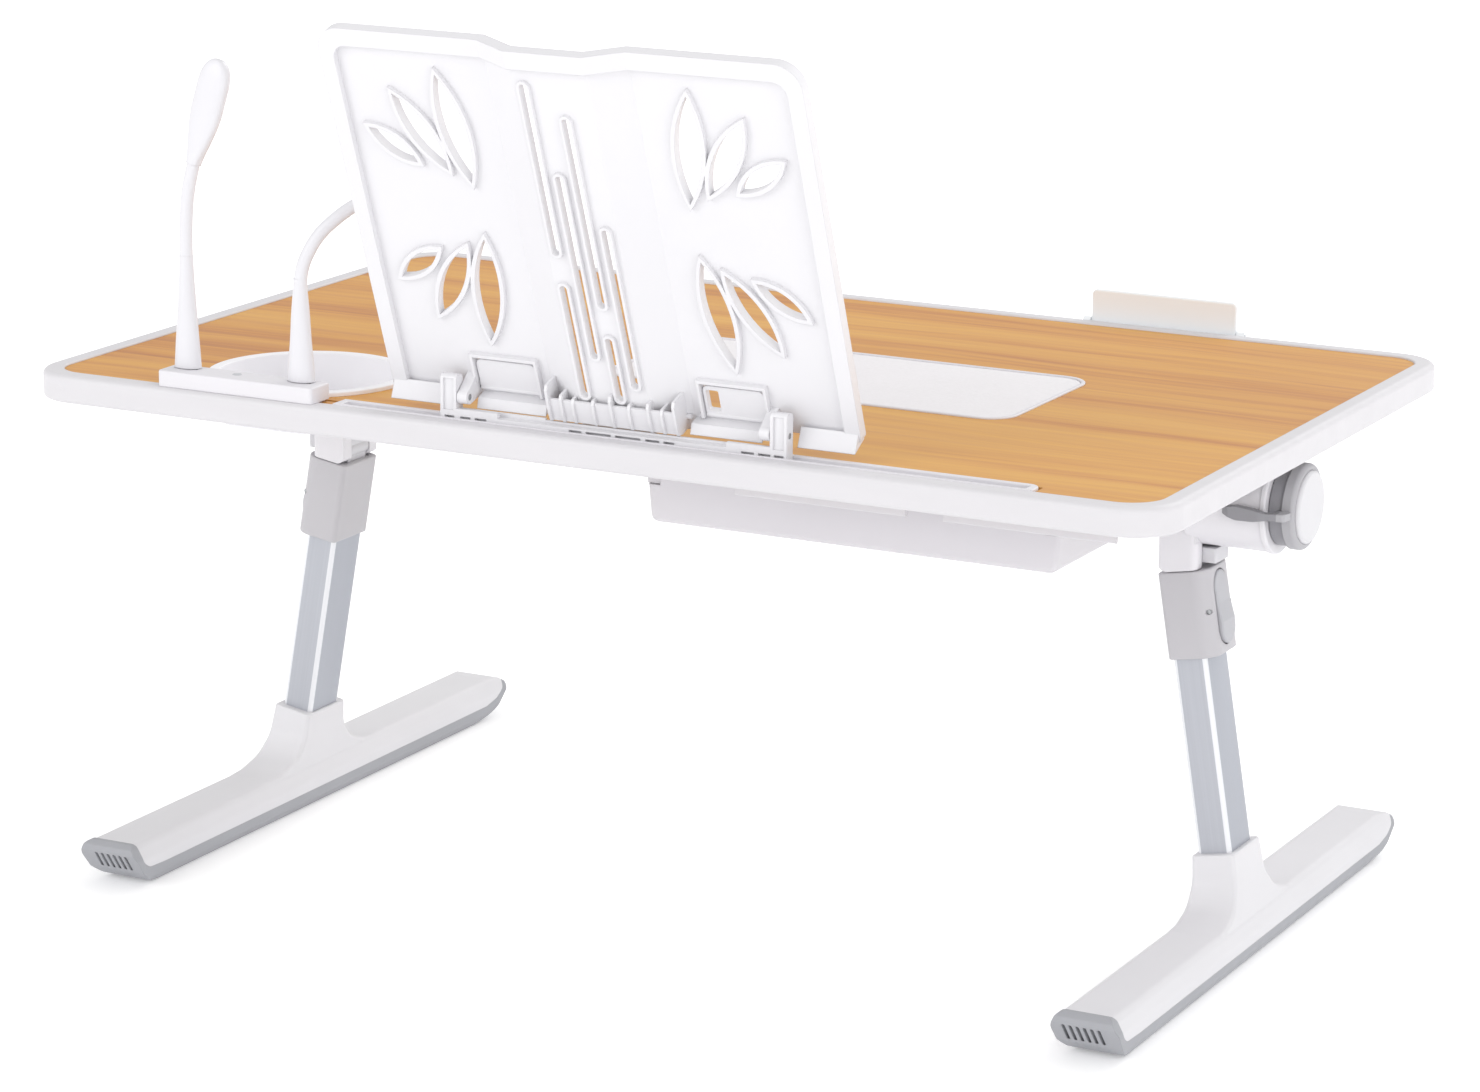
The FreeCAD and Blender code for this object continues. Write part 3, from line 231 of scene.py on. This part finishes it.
def anodised(name, tilt):
    """Extruded aluminium, satin anodised: die lines run along the leg; the corners get a painted highlight and the
    side faces get painted shade.
    """
    k = Mat(name)
    v = k.mapped((1, 1, 1), rot=(0, tilt, 0))
    lines = k.noise(1.0, 5, 0.6, k.mapped((900, 900, 5), co=v))
    broad = k.noise(1.0, 2, 0.5, k.mapped((60, 60, 2), co=v))
    sep = k.t.nodes.new("ShaderNodeSeparateXYZ")
    k.link(k.co, sep.inputs[0])
    a = math.radians(9.65)
    x = k.math("ADD", k.math("MULTIPLY", k.math("SUBTRACT", k.math("ABSOLUTE", sep.outputs[0]), 0.2689), math.cos(a)),
               k.math("MULTIPLY", sep.outputs[2], math.sin(a)))
    x = k.math("ABSOLUTE", x)
    y = k.math("ABSOLUTE", k.math("SUBTRACT", sep.outputs[1], 0.005 + DY))
    # painted highlight: mask of the leg's corners, coloured near-white and made less rough below
    painted_highlight_corner = k.math("MULTIPLY", k.math("GREATER_THAN", x, 0.0066), k.math("GREATER_THAN", y, 0.01175))
    # painted shade: mask of the leg's side faces, which are coloured darker below
    side = k.math("MULTIPLY", k.math("GREATER_THAN", x, 0.0083), k.math("SUBTRACT", 1.0, painted_highlight_corner))
    face = k.mix(k.math("ADD", k.math("MULTIPLY", lines, 0.6), k.math("MULTIPLY", broad, 0.4)), srgb(169, 172, 179), srgb(194, 196, 203))
    # painted shade on the side faces
    face = k.mix(k.math("MULTIPLY", side, 0.42), face, srgb(158, 162, 172))
    # painted highlight on the corners
    k.color(k.mix(k.math("MULTIPLY", painted_highlight_corner, 0.8), face, srgb(240, 241, 244)))
    k.rough(k.math("SUBTRACT", k.span(lines, 0.36, 0.49), k.math("MULTIPLY", painted_highlight_corner, 0.12)))
    k.normal(k.bump(lines, 0.10, 0.00015, k.edge(0.0005)))
    k.set(Metallic=0.45, Specular_IOR_Level=0.5, Anisotropic=0.35)
    return k.m


def lever_plastic():
    """The clamp lever: mid grey skirt and arm, with a lighter front rim."""
    k = Mat("lever_plastic")
    sep = k.t.nodes.new("ShaderNodeSeparateXYZ")
    k.link(k.co, sep.inputs[0])
    front = k.math("GREATER_THAN", k.math("ABSOLUTE", sep.outputs[0]), 0.2903)
    fine = k.noise(1900, 3, 0.6)
    body = k.mix(k.noise(14, 3, 0.5), srgb(136, 135, 140), srgb(150, 149, 154))
    rim = k.mix(k.noise(14, 3, 0.5), srgb(166, 165, 169), srgb(178, 177, 181))
    k.color(k.mix(front, body, rim))
    k.rough(k.span(k.noise(60, 4, 0.6), 0.40, 0.54))
    k.normal(k.bump(fine, 0.18, 0.00012, k.edge(0.0006)))
    return k.m


def plated(name, rgb=(186, 188, 190), rough=0.30):
    k = Mat(name)
    n = k.noise(160, 5, 0.65)
    k.color(k.mix(n, srgb(*[int(v * 0.86) for v in rgb]), srgb(*rgb)))
    k.rough(k.span(k.noise(700, 3, 0.6), rough - 0.06, rough + 0.10))
    k.normal(k.bump(k.noise(1400, 2, 0.5), 0.06, 0.0001, k.edge(0.0003)))
    k.set(Metallic=1.0)
    return k.m


def board_green():
    k = Mat("circuit_board")
    c = k.voronoi(420, feature="DISTANCE_TO_EDGE")
    lines = k.ramp(c, [(0.03, srgb(40, 110, 62)), (0.10, srgb(20, 78, 42))])
    k.color(lines)
    k.rough(k.span(k.noise(300), 0.3, 0.5))
    return k.m


def lens(name):
    k = Mat(name)
    v = k.mapped((1, 1, 1))
    dots = k.voronoi(260, v)
    k.color(k.mix(dots, srgb(252, 250, 240), srgb(236, 236, 230)))
    k.rough(k.span(k.noise(500, 3, 0.5), 0.28, 0.42))
    k.normal(k.bump(dots, 0.25, 0.0003, k.edge(0.0004)))
    k.set(Subsurface_Weight=0.2, Subsurface_Radius=(0.004, 0.004, 0.004), Subsurface_Scale=0.4)
    return k.m


white = moulded("white_plastic", (224, 222, 226), 0.40, 0.09, 0.0006)
trim_white = moulded("trim_plastic", (215, 213, 216), 0.46, 0.16, 0.0007, 0.03, flow=(1, 6, 6))
stand_white = moulded("stand_plastic", (227, 226, 229), 0.44, 0.12, 0.0005, 0.02)
foot_white = moulded("foot_plastic", (220, 219, 222), 0.50, 0.22, 0.0008, 0.03)
light_grey = moulded("light_grey_plastic", (208, 207, 211), 0.44, 0.14, 0.0007)
collar_mat = moulded("collar_plastic", (190, 188, 192), 0.44, 0.14, 0.0007)
button_grey = moulded("button_plastic", (178, 178, 183), 0.38, 0.12, 0.0006)
lever_mat = lever_plastic()
hinge_grey = moulded("hinge_plastic", (186, 186, 190), 0.48, 0.18, 0.0006, 0.04)
sole_grey = moulded("sole_rubber_plastic", (165, 166, 171), 0.58, 0.30, 0.0006, 0.05)
gloss_white = moulded("lamp_plastic", (224, 223, 227), 0.34, 0.05, 0.0005, 0.015)
# painted shade: the knob cap gets a darker white than the other white plastic, so the side lights do not wash it out
knob_white_painted_shade = moulded("knob_plastic_painted_shade", (212, 211, 214), 0.38, 0.08, 0.0006)
# painted light: the stopper gets a brighter, cooler white than the stand plastic, to lift the shade on its plate and
# offset the warm bounce from the wood
stopper_white_painted_light = moulded("stopper_plastic_painted_light", (242, 245, 247), 0.40, 0.08, 0.0006)
touch_mat = moulded("touch_plastic", (196, 197, 201), 0.30, 0.05, 0.0004, 0.03)
drawer_white = moulded("drawer_plastic", (214, 211, 215), 0.42, 0.12, 0.0006)
# painted light: the cup holder gets a brighter white than the other white plastic, to lift the shade inside its well
cup_white_painted_light = moulded("cup_plastic_painted_light", (244, 243, 246), 0.40, 0.08, 0.0006)
oak = wood()
pad_mat = leatherette()
tube_r = anodised("leg_aluminium_right", math.radians(9.65))
tube_l = anodised("leg_aluminium_left", math.radians(-9.65))
zinc = plated("zinc_plated_steel")
shell = plated("port_shell", (200, 202, 205), 0.24)
pcb = board_green()
lens_mat = lens("lamp_lens")

RULES = [
    ("top_board", oak), ("inset_pad", pad_mat), ("edge_trim", trim_white), ("slot_strip", white), ("pad_frame", white),
    ("cup_holder", cup_white_painted_light), ("usb_hub_housing", white), ("usb_ports", shell), ("hub_circuit_board", pcb), ("hub_bottom", white),
    ("stopper", stopper_white_painted_light), ("drawer_rail_screws", zinc), ("drawer", drawer_white), ("hinge_screws", zinc), ("hinge_base", hinge_grey),
    ("clamp_bolt", zinc), ("tilt_barrel", white), ("fold_pin", zinc), ("tilt_lever", lever_mat), ("knob_cap", knob_white_painted_shade),
    ("fold_post", light_grey), ("collar", collar_mat), ("height_button", button_grey),
    ("button_pin", zinc), ("leg_tube_right", tube_r), ("leg_tube_left", tube_l), ("foot_upper", foot_white),
    ("foot_sole", sole_grey), ("foot_screws", zinc), ("stand_panel", stand_white), ("page_clip_pins", zinc),
    ("page_clip", stand_white), ("stand_cross_rod", stand_white), ("stand_base", stand_white), ("stand_pivot_pins", zinc),
    ("lamp_plug", shell), ("lamp_stem", gloss_white), ("lamp_head", gloss_white), ("lamp_diffuser", lens_mat),
]
for name, ob in NODES.items():
    for key, m in RULES:
        if name.startswith(key):
            ob.data.materials.clear()
            ob.data.materials.append(m)
            break
    else:
        print("no material for", name)

# ---------------------------------------------------------------- pieces modelled here
def from_rings(name, rings, mat, smooth=True, sharp=35):
    """A closed mesh through rings of equal count, capped at both ends."""
    b = bmesh.new()
    rows = [[b.verts.new(p) for p in ring] for ring in rings]
    n = len(rows[0])
    for lo, hi in zip(rows, rows[1:]):
        for k in range(n):
            b.faces.new((lo[k], lo[(k + 1) % n], hi[(k + 1) % n], hi[k]))
    b.faces.new(list(reversed(rows[0])))
    b.faces.new(rows[-1])
    bmesh.ops.recalc_face_normals(b, faces=b.faces[:])
    me = bpy.data.meshes.new(name)
    b.to_mesh(me)
    b.free()
    for f in me.polygons:
        f.use_smooth = smooth
    ob = bpy.data.objects.new(name, me)
    bpy.context.scene.collection.objects.link(ob)
    me.materials.append(mat)
    return ob


def rounded(x0, x1, y0, y1, r, z, per=10):
    pts = []
    for cx, cy, a0 in ((x1 - r, y1 - r, 0), (x0 + r, y1 - r, 90), (x0 + r, y0 + r, 180), (x1 - r, y0 + r, 270)):
        for k in range(per + 1):
            a = math.radians(a0 + 90.0 * k / per)
            pts.append((cx + r * math.cos(a), cy + r * math.sin(a), z))
    return pts


# the inset pad: leatherette over a thin foam, its edge rolled down into the frame
lo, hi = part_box("inset_pad")
zt = float(hi[2])
pad_rings = []
for inset, dz in ((0.0, -1.40), (0.0, -0.75), (0.12, -0.42), (0.4, -0.20), (0.9, -0.07), (2.0, -0.02), (5.0, 0.0), (10.0, 0.04),
                  (18.0, 0.08), (28.0, 0.11), (40.0, 0.13), (50.5, 0.14)):
    i_ = (inset + 0.05) / 1000
    pad_rings.append(rounded(float(lo[0]) + i_, float(hi[0]) - i_, float(lo[1]) + i_, float(hi[1]) - i_, max(0.0004, 0.0128 - i_), zt + dz / 1000))
pad_ob = from_rings("pad_cover", pad_rings, pad_mat)
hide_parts("inset_pad")
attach(pad_ob, "table")

# the hub's touch light: a small domed lens in a shallow ring on its top
hz = float(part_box("usb_hub_housing")[1][2])
cx, cy = -0.1832, -0.1778 + DY
turned = [(2.35, -0.30), (2.35, 0.10), (2.20, 0.22), (1.95, 0.22), (1.80, 0.08), (1.72, 0.02), (1.60, 0.14), (1.20, 0.28), (0.6, 0.36), (0.15, 0.38)]
rings = [[(cx + r / 1000 * math.cos(2 * math.pi * k / 28), cy + r / 1000 * math.sin(2 * math.pi * k / 28), hz + z / 1000) for k in range(28)] for r, z in turned]
dot = from_rings("hub_touch_light", rings, touch_mat)
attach(dot, "table")

# ---------------------------------------------------------------- floor, light, camera
bm = bmesh.new()
S = 20.0
prof = [(-S, 0.0), (-2.0, 0.0), (2.0, 0.0), (S, 0.0)]
rows = []
for x in (-S, S):
    rows.append([bm.verts.new((x, y, z - 0.0002)) for y, z in prof])
for i in range(len(prof) - 1):
    bm.faces.new((rows[0][i], rows[1][i], rows[1][i + 1], rows[0][i + 1]))
me = bpy.data.meshes.new("studio_floor")
bm.to_mesh(me)
bm.free()
for p in me.polygons:
    p.use_smooth = True
floor = bpy.data.objects.new("studio_floor", me)
bpy.context.scene.collection.objects.link(floor)
fm = Mat("floor_paper")
fm.color(fm.mix(fm.noise(3, 2), srgb(250, 250, 251), srgb(253, 253, 253)))
fm.set(Roughness=0.8, Specular_IOR_Level=0.1, Emission_Color=(1, 1, 1, 1))
# painted light: the floor paper glows through its emission, weaker near the table and rising to pure white away from
# it
far = fm.t.nodes.new("ShaderNodeVectorMath")
far.operation = "LENGTH"
fm.link(fm.co, far.inputs[0])
glow = fm.t.nodes.new("ShaderNodeMapRange")
fm.link(far.outputs["Value"], glow.inputs["Value"])
for key, v in (("From Min", 0.6), ("From Max", 2.4), ("To Min", 0.18), ("To Max", 0.42)):
    glow.inputs[key].default_value = v
fm.link(glow.outputs[0], fm.b.inputs["Emission Strength"])
floor.data.materials.append(fm.m)


def area(name, loc, target, size, energy, color=(1, 1, 1)):
    d = bpy.data.lights.new(name, "AREA")
    d.shape = "RECTANGLE"
    d.size, d.size_y = size
    d.energy = energy
    d.color = color
    o = bpy.data.objects.new(name, d)
    o.location = loc
    o.rotation_euler = (Vector(target) - Vector(loc)).to_track_quat("-Z", "Y").to_euler()
    bpy.context.scene.collection.objects.link(o)
    return o


area("key", (-1.7, -2.6, 1.5), (0, 0, 0.2), (1.8, 1.6), 27.5)
area("side", (3.0, 0.1, 1.3), (0, 0, 0.15), (1.6, 1.6), 6.5)
area("fill", (2.6, -1.6, 1.2), (0, 0, 0.15), (1.6, 1.6), 17.5)
area("back", (0.6, 2.0, 1.9), (0, 0, 0.2), (2.0, 1.2), 20)

world = bpy.data.worlds.new("studio")
world.use_nodes = True
bg = world.node_tree.nodes["Background"]
bg.inputs[0].default_value = (1, 1, 1, 1)
bg.inputs[1].default_value = 0.78
seen = world.node_tree.nodes.new("ShaderNodeBackground")
seen.inputs[0].default_value = (1, 1, 1, 1)
seen.inputs[1].default_value = 1.0
ray = world.node_tree.nodes.new("ShaderNodeLightPath")
both = world.node_tree.nodes.new("ShaderNodeMixShader")
wl = world.node_tree.links
wl.new(ray.outputs["Is Camera Ray"], both.inputs[0])
wl.new(bg.outputs[0], both.inputs[1])
wl.new(seen.outputs[0], both.inputs[2])
wl.new(both.outputs[0], world.node_tree.nodes["World Output"].inputs["Surface"])
bpy.context.scene.world = world
bpy.context.scene.view_settings.view_transform = "Standard"
bpy.context.scene.view_settings.look = "None"

cam = bpy.data.cameras.new("camera")
cam.sensor_fit = "HORIZONTAL"
cam.sensor_width = 36.0
cam.lens = 114.555
cam.clip_start, cam.clip_end = 0.05, 50
co = bpy.data.objects.new("camera", cam)
R = Vector((0.88971, 0.45643, 0.00965)).normalized()
F = Vector((-0.44067, 0.86412, -0.24311)).normalized()
U = R.cross(F).normalized()
co.matrix_world = Matrix((
    (R.x, U.x, -F.x, 1.03765), (R.y, U.y, -F.y, -2.03871 + DY), (R.z, U.z, -F.z, 0.74408), (0, 0, 0, 1)))
bpy.context.scene.collection.objects.link(co)
bpy.context.scene.camera = co
